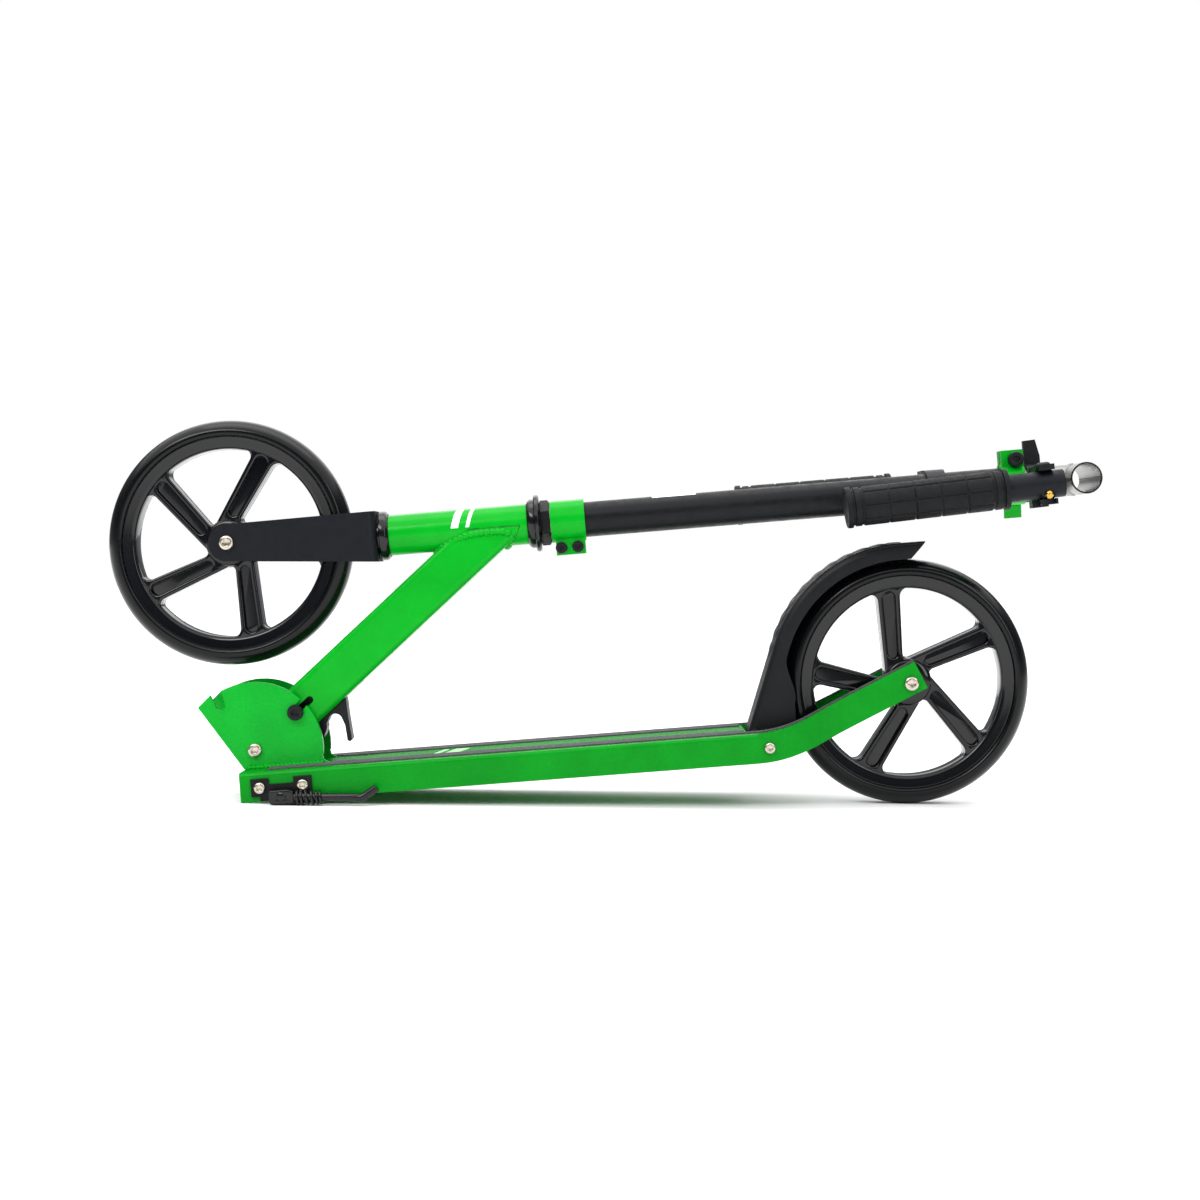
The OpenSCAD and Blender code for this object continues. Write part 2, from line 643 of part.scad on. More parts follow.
module front_tyre() color(black) at_front() tyre();
module front_rim() color(black) at_front() rim();
module front_bearings() color(silver) at_front() bearings();
module front_sleeve() color(silver) at_front() sleeve();
module rear_tyre() color(black) at_rear() tyre();
module rear_rim() color(black) at_rear() rim();
module rear_bearings() color(silver) at_rear() bearings();
module rear_sleeve() color(silver) at_rear() sleeve();

deck();
hinge_plates();
grip_tape();
hinge_bolt();
rear_axle_bolt();
rear_spacers();
fender_bolt();
fender_spring();
stand_bracket();
stand_bolts();
stand_rivet();
fender();
stand_block();
stand_leg();
stand_spring();
down_tube();
head_tube();
headset_cups();
hinge_bushes();
latch_spring();
lock_pin();
pin_heads();
release_trigger();
fork();
crown_race();
steerer();
headset_bearings();
dust_washer();
lock_nut();
stem_clamp();
clamp_screws();
lower_tube();
tube_bush();
clamp_collar();
clamp_bolt();
far_clip();
front_axle_bolt();
front_spacers();
clamp_lever();
lever_pin();
upright_tube();
cross_tube();
near_clip();
near_grip();
near_grip_tube();
near_button();
far_grip();
far_grip_tube();
far_button();
front_tyre();
front_rim();
front_bearings();
front_sleeve();
rear_tyre();
rear_rim();
rear_bearings();
rear_sleeve();
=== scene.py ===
import json
import math
import random

import bmesh
import bpy
from mathutils import Matrix, Vector


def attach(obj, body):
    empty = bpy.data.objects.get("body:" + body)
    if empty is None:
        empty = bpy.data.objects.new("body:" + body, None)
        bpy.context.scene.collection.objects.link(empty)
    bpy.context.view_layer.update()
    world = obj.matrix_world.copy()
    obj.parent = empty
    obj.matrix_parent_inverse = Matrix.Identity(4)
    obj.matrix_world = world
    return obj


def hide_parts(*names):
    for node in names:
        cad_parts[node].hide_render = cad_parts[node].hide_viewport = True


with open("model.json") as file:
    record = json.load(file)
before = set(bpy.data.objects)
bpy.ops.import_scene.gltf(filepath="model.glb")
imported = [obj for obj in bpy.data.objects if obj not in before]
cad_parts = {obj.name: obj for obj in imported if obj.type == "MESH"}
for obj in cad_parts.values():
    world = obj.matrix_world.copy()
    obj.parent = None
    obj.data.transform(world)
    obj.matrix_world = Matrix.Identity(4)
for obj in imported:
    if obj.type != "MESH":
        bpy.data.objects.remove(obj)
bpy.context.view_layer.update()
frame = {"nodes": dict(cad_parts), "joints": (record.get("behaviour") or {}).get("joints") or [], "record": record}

random.seed(7)
MM = 0.001
TAU = 2 * math.pi
FLAT = Vector((0, 1, 0))

# ---- Frames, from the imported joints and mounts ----
JOINTS = {j["name"]: j for j in frame["joints"]}
MOUNTS = {m["name"]: m for m in frame["record"]["mounts"]}


def basis(origin, x, z):
    """A frame in millimetres: local x and z as given, local y = z cross x."""
    y = z.cross(x)
    m = Matrix((x, y, z)).transposed().to_4x4()
    m.translation = origin
    return m @ Matrix.Scale(MM, 4)


HINGE = Vector(JOINTS["fold"]["pos_m"])
STEM_X = Vector(JOINTS["steer"]["axis"]).normalized()
STEM_Z = STEM_X.cross(FLAT)
STEM_LIFT = 0.33                     # degrees between the deck and the folded stem
DECK_X = Matrix.Rotation(math.radians(STEM_LIFT), 3, FLAT) @ STEM_X
DECK_Z = DECK_X.cross(FLAT)
TUBE_X = Vector(JOINTS["latch_release"]["axis"]).normalized()
DECK = basis(HINGE, DECK_X, DECK_Z)
STEM = basis(HINGE, STEM_X, STEM_Z)
TUBE = basis(HINGE, TUBE_X, TUBE_X.cross(FLAT))


def in_frame(m, p):
    """Where a point of the row, in metres, is in a millimetre frame."""
    return m.inverted() @ Vector(p)


AXIS_N = in_frame(STEM, JOINTS["steer"]["pos_m"]).z
AXIS = STEM @ Matrix.Translation((0, 0, AXIS_N)) @ Matrix.Rotation(math.pi / 2, 4, "Y")
REAR_AXLE = in_frame(DECK, JOINTS["rear_wheel_spin"]["pos_m"])
FENDER_PIVOT = in_frame(DECK, JOINTS["fender_brake"]["pos_m"])
STAND_PIVOT = in_frame(DECK, JOINTS["kickstand_swing"]["pos_m"])
FRONT_AXLE = in_frame(STEM, JOINTS["front_wheel_spin"]["pos_m"])
CROSS_S = in_frame(STEM, MOUNTS["handlebar_socket"]["pos_m"]).x
TUBE_LIFT = math.acos(TUBE_X.dot(STEM_X))

# ---- Camera: long lens, level with the stem, tipped down a little ----
DISTANCE = 1.65
EYE_Z = 0.2045
PITCH_DOWN = 1.424
ROLL = 0.7
camera = bpy.data.objects.new("camera", bpy.data.cameras.new("camera"))
bpy.context.collection.objects.link(camera)
camera.data.lens = 60.4
camera.data.sensor_width = 36
camera.location = (0, -DISTANCE, EYE_Z)
camera.rotation_euler = (math.radians(90 - PITCH_DOWN), math.radians(-ROLL), 0)
bpy.context.scene.camera = camera


# ---- Materials ----
NOISE_LOW, NOISE_HIGH = 0.3, 0.7     # most of a noise factor lies between these


def srgb(r, g, b):
    """Linear colour from 0-255 screen values."""
    def lin(v):
        v /= 255
        return v / 12.92 if v <= 0.04045 else ((v + 0.055) / 1.055) ** 2.4
    return (lin(r), lin(g), lin(b), 1)


def new_material(name, colour, rough, metallic=0.0, coat=0.0, specular=0.5, edge=0.5):
    """A Principled material with object coordinates, softened edges and a chain of bumps to add to."""
    mat = bpy.data.materials.new(name)
    mat.use_nodes = True
    nodes = mat.node_tree.nodes
    shader = nodes["Principled BSDF"]
    shader.inputs["Base Color"].default_value = colour
    shader.inputs["Roughness"].default_value = rough
    shader.inputs["Metallic"].default_value = metallic
    shader.inputs["Coat Weight"].default_value = coat
    shader.inputs["Coat Roughness"].default_value = 0.06
    shader.inputs["Specular IOR Level"].default_value = specular
    coord = nodes.new("ShaderNodeTexCoord")
    normal = None
    if edge:
        bevel = nodes.new("ShaderNodeBevel")
        bevel.samples = 4
        bevel.inputs["Radius"].default_value = edge * MM
        normal = bevel.outputs["Normal"]
        mat.node_tree.links.new(normal, shader.inputs["Normal"])
    return {"mat": mat, "tree": mat.node_tree, "shader": shader, "coord": coord.outputs["Object"],
            "normal": normal}


def noise(m, scale, detail=3.0, stretch=None):
    """A noise factor; scale is in features per metre."""
    nodes, links = m["tree"].nodes, m["tree"].links
    tex = nodes.new("ShaderNodeTexNoise")
    tex.inputs["Scale"].default_value = scale
    tex.inputs["Detail"].default_value = detail
    source = m["coord"]
    if stretch:
        mapping = nodes.new("ShaderNodeMapping")
        mapping.inputs["Scale"].default_value = stretch
        links.new(source, mapping.inputs["Vector"])
        source = mapping.outputs["Vector"]
    links.new(source, tex.inputs["Vector"])
    return tex.outputs["Fac"]


def vary_colour(m, fac, dark, light):
    """Base colour runs from dark to light with a factor."""
    nodes, links = m["tree"].nodes, m["tree"].links
    ramp = nodes.new("ShaderNodeValToRGB")
    ramp.color_ramp.elements[0].position, ramp.color_ramp.elements[1].position = NOISE_LOW, NOISE_HIGH
    ramp.color_ramp.elements[0].color = dark
    ramp.color_ramp.elements[1].color = light
    links.new(fac, ramp.inputs["Fac"])
    links.new(ramp.outputs["Color"], m["shader"].inputs["Base Color"])


def vary_rough(m, fac, lo, hi):
    """Roughness runs from lo to hi with a factor."""
    node = m["tree"].nodes.new("ShaderNodeMapRange")
    for key, value in (("From Min", NOISE_LOW), ("From Max", NOISE_HIGH), ("To Min", lo), ("To Max", hi)):
        node.inputs[key].default_value = value
    m["tree"].links.new(fac, node.inputs["Value"])
    m["tree"].links.new(node.outputs["Result"], m["shader"].inputs["Roughness"])


def add_bump(m, height, depth_mm):
    """One more bump on top of the earlier ones."""
    nodes, links = m["tree"].nodes, m["tree"].links
    bump = nodes.new("ShaderNodeBump")
    bump.inputs["Distance"].default_value = depth_mm * MM
    links.new(height, bump.inputs["Height"])
    if m["normal"]:
        links.new(m["normal"], bump.inputs["Normal"])
    m["normal"] = bump.outputs["Normal"]
    links.new(m["normal"], m["shader"].inputs["Normal"])


def shade(colour, k):
    return tuple(c * k for c in colour[:3]) + (1,)


def paint(name, colour, rough, orange_peel, lumps, coat, lump_scale=130, specular=0.22):
    """Sprayed enamel: fine orange peel over shallow lumps, with a little dust in the gloss."""
    m = new_material(name, colour, rough, coat=coat, edge=0.7, specular=specular)
    vary_colour(m, noise(m, 30, 4), shade(colour, 0.9), shade(colour, 1.08))
    vary_rough(m, noise(m, 160, 5), rough * 0.8, rough * 1.3)
    add_bump(m, noise(m, lump_scale, 2), lumps)
    add_bump(m, noise(m, 900, 2), orange_peel)
    return m["mat"]


def plastic(name, colour, rough, grain, grain_scale=2200, edge=0.5, specular=0.5):
    """Moulded plastic or rubber: uneven gloss and a fine grain."""
    m = new_material(name, colour, rough, edge=edge, specular=specular)
    vary_colour(m, noise(m, 60, 4), shade(colour, 0.85), shade(colour, 1.2))
    vary_rough(m, noise(m, 240, 4), rough * 0.85, rough * 1.2)
    add_bump(m, noise(m, grain_scale, 3), grain)
    return m["mat"]


def metal(name, colour, rough, stretch, scratch):
    """Bare metal with fine scratches that run one way."""
    m = new_material(name, colour, rough, metallic=1.0, edge=0.3)
    fac = noise(m, 900, 4, stretch)
    vary_colour(m, noise(m, 120, 4), shade(colour, 0.88), shade(colour, 1.05))
    vary_rough(m, fac, rough * 0.7, rough * 1.4)
    add_bump(m, fac, scratch)
    return m["mat"]


def grit():
    """Anti-slip strip: coarse grains with pale specks."""
    m = new_material("grit_tape", srgb(62, 62, 66), 0.9, edge=0.2)
    cells = m["tree"].nodes.new("ShaderNodeTexVoronoi")
    cells.inputs["Scale"].default_value = 1700
    m["tree"].links.new(m["coord"], cells.inputs["Vector"])
    vary_colour(m, noise(m, 1500, 2), srgb(38, 38, 41), srgb(104, 104, 108))
    add_bump(m, cells.outputs["Distance"], 0.35)
    add_bump(m, noise(m, 500, 3), 0.2)
    return m["mat"]


# Paint: colour, roughness, depths of orange peel and lumps in mm, coat, lumps per metre.
# Plastic: colour, roughness, depth of the grain in mm, grains per metre.
# Metal: linear colour, roughness, stretch of the scratches, their depth in mm.
GREEN = paint("green_paint", srgb(0, 162, 30), 0.22, 0.012, 0.22, 0.05, specular=0.11)
# The deck's paint is a darker copy of the green: painted shade for the deck's side, which takes less light than
# the plates
DECK_SHADED_GREEN = paint("deck_green_painted_shade", srgb(0, 136, 24), 0.26, 0.012, 0.12, 0.03, specular=0.09)
PLATE_GREEN = paint("plate_green_paint", srgb(0, 164, 40), 0.25, 0.014, 0.42, 0.05, 230, 0.11)
BLACK_PAINT = paint("black_paint", srgb(15, 16, 19), 0.4, 0.01, 0.03, 0.0, specular=0.18)
FORK_PAINT = paint("fork_paint", srgb(14, 17, 23), 0.44, 0.012, 0.03, 0.0, specular=0.18)
TYRE = plastic("tyre_rubber", srgb(7, 8, 10), 0.18, 0.006, 900, edge=0, specular=0.22)
RIM = plastic("rim_plastic", srgb(5, 6, 9), 0.1, 0.004, 300, edge=0, specular=0.4)
GLOSS = plastic("black_gloss", srgb(9, 9, 11), 0.14, 0.006, 500, specular=0.4)
FENDER = plastic("fender_plastic", srgb(17, 18, 20), 0.42, 0.03, 1500, specular=0.2)
PLASTIC = plastic("black_plastic", srgb(12, 14, 19), 0.38, 0.03, 1800, specular=0.25)
RUBBER = plastic("grip_rubber", srgb(15, 16, 18), 0.58, 0.05, 1400, edge=0, specular=0.18)
STEEL = metal("zinc_steel", (0.56, 0.5, 0.42, 1), 0.22, (1, 6, 1), 0.01)
ALLOY = metal("silver_alloy", (0.25, 0.25, 0.24, 1), 0.34, (5, 1, 5), 0.012)
BRASS = metal("brass_button", (0.62, 0.38, 0.08, 1), 0.18, (1, 4, 1), 0.008)
SPRING_BLACK = paint("spring_black", srgb(12, 12, 14), 0.22, 0.006, 0.0, 0.0, specular=0.4)
TAPE = grit()
WHITE = plastic("white_mark", srgb(240, 243, 240), 0.4, 0.006, 900, edge=0)
PALE_GREEN = plastic("pale_mark", srgb(170, 235, 165), 0.4, 0.006, 900, edge=0)
NYLON = plastic("white_nylon", srgb(225, 223, 215), 0.5, 0.02)

SLOT_LOOKS = {
    "green_paint": GREEN, "black_paint": BLACK_PAINT, "black_gloss": GLOSS, "black_plastic": PLASTIC,
    "black_rubber": RUBBER, "tyre_rubber": TYRE, "zinc_steel": STEEL, "silver_alloy": ALLOY,
    "grit_tape": TAPE, "brass_button": BRASS, "white_nylon": NYLON,
}


# ---- Mesh helpers: points are in millimetres in a local frame ----
def make(name, verts, faces, frame_m, body, mat, slot, smooth=60, replaces=()):
    """A finished piece: mesh, material, body and the nodes that it stands for; the slot argument is not used."""
    mesh = bpy.data.meshes.new(name)
    mesh.from_pydata([frame_m @ Vector(v) for v in verts], [], faces)
    mesh.validate()
    obj = bpy.data.objects.new(name, mesh)
    bpy.context.collection.objects.link(obj)
    return settle(obj, body, mat, smooth, replaces)


def settle(obj, body, mat, smooth=60, replaces=()):
    mesh = obj.data
    mesh.materials.clear()
    mesh.materials.append(mat)
    tidy_normals(mesh)
    mesh.shade_smooth()
    mesh.set_sharp_from_angle(angle=math.radians(smooth))
    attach(obj, body)
    if replaces:
        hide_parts(*replaces)
    return obj


def tidy_normals(mesh):
    bm = bmesh.new()
    bm.from_mesh(mesh)
    bmesh.ops.remove_doubles(bm, verts=bm.verts, dist=1e-7)
    bmesh.ops.recalc_face_normals(bm, faces=bm.faces)
    bm.to_mesh(mesh)
    bm.free()


def grid(rows, closed_u=True, closed_v=False, cap=False):
    """Faces over rows of equal length; u runs along a row and v across rows."""
    nu, nv = len(rows[0]), len(rows)
    verts = [p for row in rows for p in row]
    faces = []
    for v in range(nv if closed_v else nv - 1):
        for u in range(nu if closed_u else nu - 1):
            a, b = v * nu + u, v * nu + (u + 1) % nu
            c, d = ((v + 1) % nv) * nu + (u + 1) % nu, ((v + 1) % nv) * nu + u
            faces.append((a, b, c, d))
    if cap:
        faces.append(tuple(range(nu - 1, -1, -1)))
        faces.append(tuple((nv - 1) * nu + i for i in range(nu)))
    return verts, faces


def merge(*parts):
    """Joins (verts, faces) parts into one."""
    verts, faces = [], []
    for v, f in parts:
        faces += [tuple(i + len(verts) for i in face) for face in f]
        verts += list(v)
    return verts, faces


def moved(part, m):
    return [m @ Vector(v) for v in part[0]], part[1]


def arc_points(cx, cy, r, a0, a1, n):
    """Points on an arc, angles in degrees."""
    return [(cx + r * math.cos(math.radians(a0 + (a1 - a0) * i / n)),
             cy + r * math.sin(math.radians(a0 + (a1 - a0) * i / n))) for i in range(n + 1)]


def lathe(profile, segments=96):
    """A closed profile of (r, z) points turned about local z."""
    rows = []
    for i in range(segments):
        c, s = math.cos(TAU * i / segments), math.sin(TAU * i / segments)
        rows.append([(r * c, r * s, z) for r, z in profile])
    return grid(rows, True, True)


def rounded(points, radii, steps=4):
    """Rounds the corners of a closed outline by one radius or one each, or by what the sides allow."""
    out = []
    n = len(points)
    for i in range(n):
        radius = radii[i] if isinstance(radii, list) else radii
        p, a, b = (Vector(points[j]) for j in (i, i - 1, (i + 1) % n))
        u, v = (a - p), (b - p)
        angle = u.angle(v)
        if angle > math.radians(172) or radius <= 0:
            out.append(tuple(p))
            continue
        t = min(radius / math.tan(angle / 2), u.length * 0.49, v.length * 0.49)
        r = t * math.tan(angle / 2)
        bis = (u.normalized() + v.normalized()).normalized()
        centre = p + bis * (r / math.sin(angle / 2))
        start, end = p + u.normalized() * t - centre, p + v.normalized() * t - centre
        turn = start.angle_signed(end)
        for k in range(steps + 1):
            w = start.copy()
            w.rotate(Matrix.Rotation(-turn * k / steps, 2))
            out.append(tuple(centre + w))
    return out


def plate(outlines, z0, z1, bevel):
    """A flat solid with rounded edges; the first outline is its outside and the rest are holes."""
    curve = bpy.data.curves.new("outline", "CURVE")
    curve.dimensions = "2D"
    curve.fill_mode = "BOTH"
    curve.extrude = (z1 - z0) / 2 - bevel
    curve.bevel_depth = bevel
    curve.bevel_resolution = 2
    curve.offset = -bevel
    for line in outlines:
        spline = curve.splines.new("POLY")
        spline.points.add(len(line) - 1)
        for point, (x, y) in zip(spline.points, line):
            point.co = (x, y, 0, 1)
        spline.use_cyclic_u = True
    holder = bpy.data.objects.new("outline", curve)
    mesh = bpy.data.meshes.new_from_object(holder)
    middle = Vector((0, 0, (z0 + z1) / 2))
    part = ([v.co + middle for v in mesh.vertices], [tuple(p.vertices) for p in mesh.polygons])
    bpy.data.objects.remove(holder)
    bpy.data.curves.remove(curve)
    bpy.data.meshes.remove(mesh)
    return part


def sweep(path, radius, sides=16, closed=False):
    """A round tube along a path; radius is a number or a function of the share along the path."""
    path = [Vector(p) for p in path]
    n = len(path)
    rows = []
    up = None
    for i, p in enumerate(path):
        before = path[i - 1] if i or closed else p
        after = path[(i + 1) % n] if i < n - 1 or closed else p
        along = (after - before).normalized()
        if up is None:
            up = along.orthogonal().normalized()
        up = (up - along * up.dot(along)).normalized()
        side = along.cross(up)
        r = radius(i / (n - 1)) if callable(radius) else radius
        turns = [TAU * k / sides for k in range(sides)]
        rows.append([tuple(p + (up * math.cos(a) + side * math.sin(a)) * r) for a in turns])
    return grid(rows, True, closed, cap=not closed)


def helix(radius, wire, length, turns):
    """A coil along local z, closer wound at its ends."""
    n = int(turns * 20)
    path = []
    for i in range(n + 1):
        t = i / n
        lead = t - math.sin(TAU * t) * 0.04
        a = TAU * turns * t
        path.append((radius * math.cos(a), radius * math.sin(a), lead * length))
    return sweep(path, wire, 10)


def smooth_path(points, per=10):
    """Catmull-Rom through the points."""
    pts = [Vector(p) for p in points]
    pts = [pts[0] * 2 - pts[1], *pts, pts[-1] * 2 - pts[-2]]
    out = []
    for i in range(1, len(pts) - 2):
        a, b, c, d = pts[i - 1:i + 3]
        for k in range(per):
            t = k / per
            out.append(0.5 * ((2 * b) + (c - a) * t + (2 * a - 5 * b + 4 * c - d) * t * t
                              + (3 * b - a - 3 * c + d) * t ** 3))
    return out + [pts[-2]]


def weld_bead(name, path, radius, frame_m, body, closed=False, pitch=2.6, depth=0.2):
    """A run of weld: a low tube with the ripples of a moving torch."""
    path = [Vector(p) for p in path]
    ends = path + ([path[0]] if closed else [])
    length = sum((b - a).length for a, b in zip(ends, ends[1:]))
    count = max(int(length / 0.5), 12)
    dense, walked, target = [], 0.0, 0.0
    for a, b in zip(ends, ends[1:]):
        seg = (b - a).length
        while target <= walked + seg and len(dense) < count:
            dense.append(a.lerp(b, (target - walked) / seg if seg else 0))
            target += length / count
        walked += seg
    wobble = [random.uniform(0.9, 1.1) for _ in dense]

    def size(t):
        i = min(int(t * (len(dense) - 1)), len(dense) - 1)
        ripple = (t * length / pitch) % 1
        return radius * (1 - depth + depth * math.sin(math.pi * ripple)) * (0.9 + 0.1 * wobble[i])
    return make(name, *sweep(dense, size, 12, closed), frame_m, body, GREEN, "green_paint", 50)


def hex_radius(flats_half, angle):
    """Distance from a hexagon's centre to its side at an angle."""
    a = (angle % (math.pi / 3)) - math.pi / 6
    return flats_half / math.cos(a)


def round_head(r, h, socket, dome=0.35, knurl=0.0, segments=72):
    """A screw head standing on z = 0: side, rounded top, hexagon socket."""
    rows = []
    rim = r * dome
    for i in range(segments):
        a = TAU * i / segments
        c, s = math.cos(a), math.sin(a)
        hexa = hex_radius(socket, a)
        side = r - (knurl if i % 2 else 0)
        line = [(side, 0), (side, h - rim * 0.9), (side - rim * 0.12, h - rim * 0.45),
                (r - rim * 0.45, h - rim * 0.12), (r - rim, h), (socket * 1.22, h), (hexa, h - 0.25),
                (hexa * 0.97, h - socket * 0.9), (0.05, h - socket)]
        rows.append([(q * c, q * s, z) for q, z in line])
    part = grid([list(col) for col in zip(*rows)], True, False)
    n = segments
    return part[0], part[1] + [tuple(range(n - 1, -1, -1)), tuple(8 * n + i for i in range(n))]


def hex_nut(flats, h, hole):
    """A nut on z = 0 with chamfered corners and a raised bolt end."""
    n = 72
    rows = []
    for i in range(n):
        a = TAU * i / n
        c, s = math.cos(a), math.sin(a)
        hexa = hex_radius(flats / 2, a)
        soft = min(hexa, flats / 2 * 1.06)
        line = [(soft * 0.97, 0), (hexa, 0.5), (hexa, h - 0.7), (soft * 0.97, h), (hole, h),
                (hole, h + 0.9), (hole * 0.8, h + 1.3), (0.05, h + 1.3)]
        rows.append([(q * c, q * s, z) for q, z in line])
    part = grid([list(col) for col in zip(*rows)], True, False)
    return part[0], part[1] + [tuple(range(n - 1, -1, -1)), tuple(7 * n + i for i in range(n))]


def rod(r, z0, z1):
    """A plain bar with chamfered ends, closed."""
    c = min(0.4, r * 0.2)
    turns = [TAU * i / 48 for i in range(48)]
    rows = [[(q * math.cos(a), q * math.sin(a), z) for a in turns]
            for q, z in ((r - c, z0), (r, z0 + c), (r, z1 - c), (r - c, z1))]
    return grid(rows, True, False, cap=True)


def tube_ring(r_out, r_in, z0, z1, lip=0.4, segments=96):
    """A ring with rounded lips."""
    e = min(lip, (r_out - r_in) * 0.3, (z1 - z0) * 0.3)
    half = e * 0.3
    return lathe([(r_in, z0 + e), (r_in + half, z0 + half), (r_in + e, z0), (r_out - e, z0),
                  (r_out - half, z0 + half), (r_out, z0 + e), (r_out, z1 - e), (r_out - half, z1 - half),
                  (r_out - e, z1), (r_in + e, z1), (r_in + half, z1 - half), (r_in, z1 - e)], segments)


def near_side(frame_m, x, z):
    """A frame at (x, z) whose local z points to the near side, -Y."""
    return frame_m @ Matrix.Translation((x, 0, z)) @ Matrix.Rotation(math.pi / 2, 4, "X")


# ---- Carried-over CAD nodes take their slot's material ----
for part in frame["record"]["subparts"]:
    node = frame["nodes"][part["node"]]
    node.data.materials.clear()
    node.data.materials.append(SLOT_LOOKS[part["material_slot"]])
    node.data.shade_smooth()
    node.data.set_sharp_from_angle(angle=math.radians(28))
frame["nodes"]["fork"].data.materials[0] = FORK_PAINT
# The deck takes the darker copy of the green paint, painted shade on its side
frame["nodes"]["deck"].data.materials[0] = DECK_SHADED_GREEN
frame["nodes"]["hinge_plates"].data.materials[0] = PLATE_GREEN
frame["nodes"]["near_grip_tube"].data.materials[0] = FORK_PAINT
frame["nodes"]["far_grip_tube"].data.materials[0] = FORK_PAINT

# ---- Wheels ----
WHEEL_R, TYRE_HALF, RIM_R, RING_R, HUB_R, HUB_HALF = 100.0, 15.0, 86.0, 76.5, 20.0, 15.0
CROWN_C = 83.4                       # centre of the tread's arc
WEB_HALF, FACE_IN, FACE_OUT = 6.5, 3.0, 10.5
BORE_R, RACE_R, POCKET_Z = 9.4, 11.0, 8.0
SPOKES, SPOKE_IN, SPOKE_OUT, SPOKE_OFF = 5, 7.5, 9.3, 9.7
CHANNEL_HALF, CHANNEL_FROM, CHANNEL_TO = 5.0, 20, 74.5


def tyre_profile():
    """Rounded tread, shoulders and a foot inside the rim's lip."""
    crown = arc_points(CROWN_C, 0, WHEEL_R - CROWN_C, -56, 56, 28)
    crown = [(r, min(max(z, -TYRE_HALF), TYRE_HALF)) for r, z in crown]
    side = [(RIM_R + 3.4, TYRE_HALF - 0.1), (RIM_R + 1.9, TYRE_HALF - 0.9), (RIM_R + 0.4, TYRE_HALF - 2.4)]
    return [(r, -z) for r, z in reversed(side)] + crown + side


def turned(points, degrees):
    """Points turned about the centre."""
    c, s = math.cos(math.radians(degrees)), math.sin(math.radians(degrees))
    return [(x * c - y * s, x * s + y * c) for x, y in points]


def window(index):
    """The gap between two spokes, which run past the centre on one side and widen outwards."""
    step = 360 / SPOKES
    c, s = math.cos(math.radians(step)), math.sin(math.radians(step))
    left, right = SPOKE_OFF + SPOKE_IN, SPOKE_OFF - SPOKE_IN
    out_r = RING_R + 1.0
    first = math.degrees(math.asin((SPOKE_OFF + SPOKE_OUT) / out_r))
    last = step + math.degrees(math.asin((SPOKE_OFF - SPOKE_OUT) / out_r))
    points = arc_points(0, 0, out_r, first, last, 5) + [((left * c - right) / s, left)]
    return turned(rounded(points, [8.0] * 6 + [4.0], 6), step * index)


def channel(index, half, t0, t1):
    """The long recess in a spoke's face."""
    line = arc_points(t1 - half, SPOKE_OFF, half, -90, 90, 8) \
        + arc_points(t0 + half * 0.8, SPOKE_OFF, half * 0.8, 90, 270, 8)
    return turned(line, 360 / SPOKES * index)


def rim_part():
    outer = arc_points(0, 0, RING_R + 2, 0, 357.5, 143)
    hole = arc_points(0, 0, BORE_R, 0, 352, 44)
    windows = [window(i) for i in range(SPOKES)]
    channels = [channel(i, CHANNEL_HALF, CHANNEL_FROM, CHANNEL_TO) for i in range(SPOKES)]
    web = plate([outer, hole] + windows, -WEB_HALF, WEB_HALF, 1.0)
    faces = [plate([outer, arc_points(0, 0, HUB_R - 4, 0, 352, 44)] + windows + channels, z0, z1, 1.6)
             for z0, z1 in ((FACE_IN, FACE_OUT), (-FACE_OUT, -FACE_IN))]
    lip = [(RING_R, 3), (RING_R, 8.6), (RING_R + 0.7, 10.2), (RING_R + 2.0, 11.2), (RING_R + 3.8, 11.7),
           (RING_R + 6.5, 11.6), (RIM_R - 0.6, 12.3), (RIM_R + 0.6, 12.3)]
    ring = lathe([(r, -z) for r, z in reversed(lip)] + lip, 192)
    boss = [(HUB_R, 7), (HUB_R - 1.6, HUB_HALF - 1.2), (HUB_R - 3.2, HUB_HALF), (RACE_R + 0.8, HUB_HALF),
            (RACE_R + 0.2, HUB_HALF - 0.6), (RACE_R, POCKET_Z), (BORE_R, POCKET_Z)]
    hub = lathe(boss + [(r, -z) for r, z in reversed(boss)])
    return merge(web, *faces, ring, hub)


def bearing_part():
    """Outer race, recessed shield and inner race, on both sides."""
    side = lathe([(4.05, POCKET_Z), (4.05, 14.8), (4.4, 15), (5.8, 15), (6.0, 14.4), (9.2, 14.2), (9.4, 15),
                  (10.8, 15), (RACE_R, 14.8), (RACE_R, POCKET_Z)], 72)
    return merge(side, moved(side, Matrix.Rotation(math.pi, 4, "X")))


def build_wheel(name, frame_m, axle, phase):
    at = Matrix.Translation(frame_m @ Vector((axle.x, 0, axle.z))) @ Matrix.Rotation(math.pi / 2, 4, "X") \
        @ Matrix.Rotation(math.radians(phase), 4, "Z") @ Matrix.Scale(MM, 4)
    body = name + "_wheel"
    make(name + "_tyre_skin", *lathe(tyre_profile(), 224), at, body, TYRE, "tyre_rubber", 70,
         [name + "_tyre"])
    make(name + "_rim_casting", *rim_part(), at, body, RIM, "black_gloss", 40, [name + "_rim"])
    make(name + "_bearing_pair", *bearing_part(), at, body, STEEL, "zinc_steel", 30, [name + "_bearings"])


build_wheel("front", STEM, FRONT_AXLE, 61.4)
build_wheel("rear", DECK, REAR_AXLE, 23.3)


# ---- Bolts ----
def bolt(name, node, frame_m, x, z, body, shaft, head_r, head_h, out, nut_h):
    """A button-head bolt across the scooter, from out to -out: head near, nut far."""
    nut = moved(hex_nut(head_r * 2.0, nut_h, shaft), Matrix.Rotation(math.pi, 4, "X"))
    parts = [moved(round_head(head_r, head_h, head_r * 0.42), Matrix.Translation((0, 0, out))),
             rod(shaft, -out, out), moved(nut, Matrix.Translation((0, 0, -out)))]
    make(name, *merge(*parts), near_side(frame_m, x, z), body, STEEL, "zinc_steel", 35, [node])


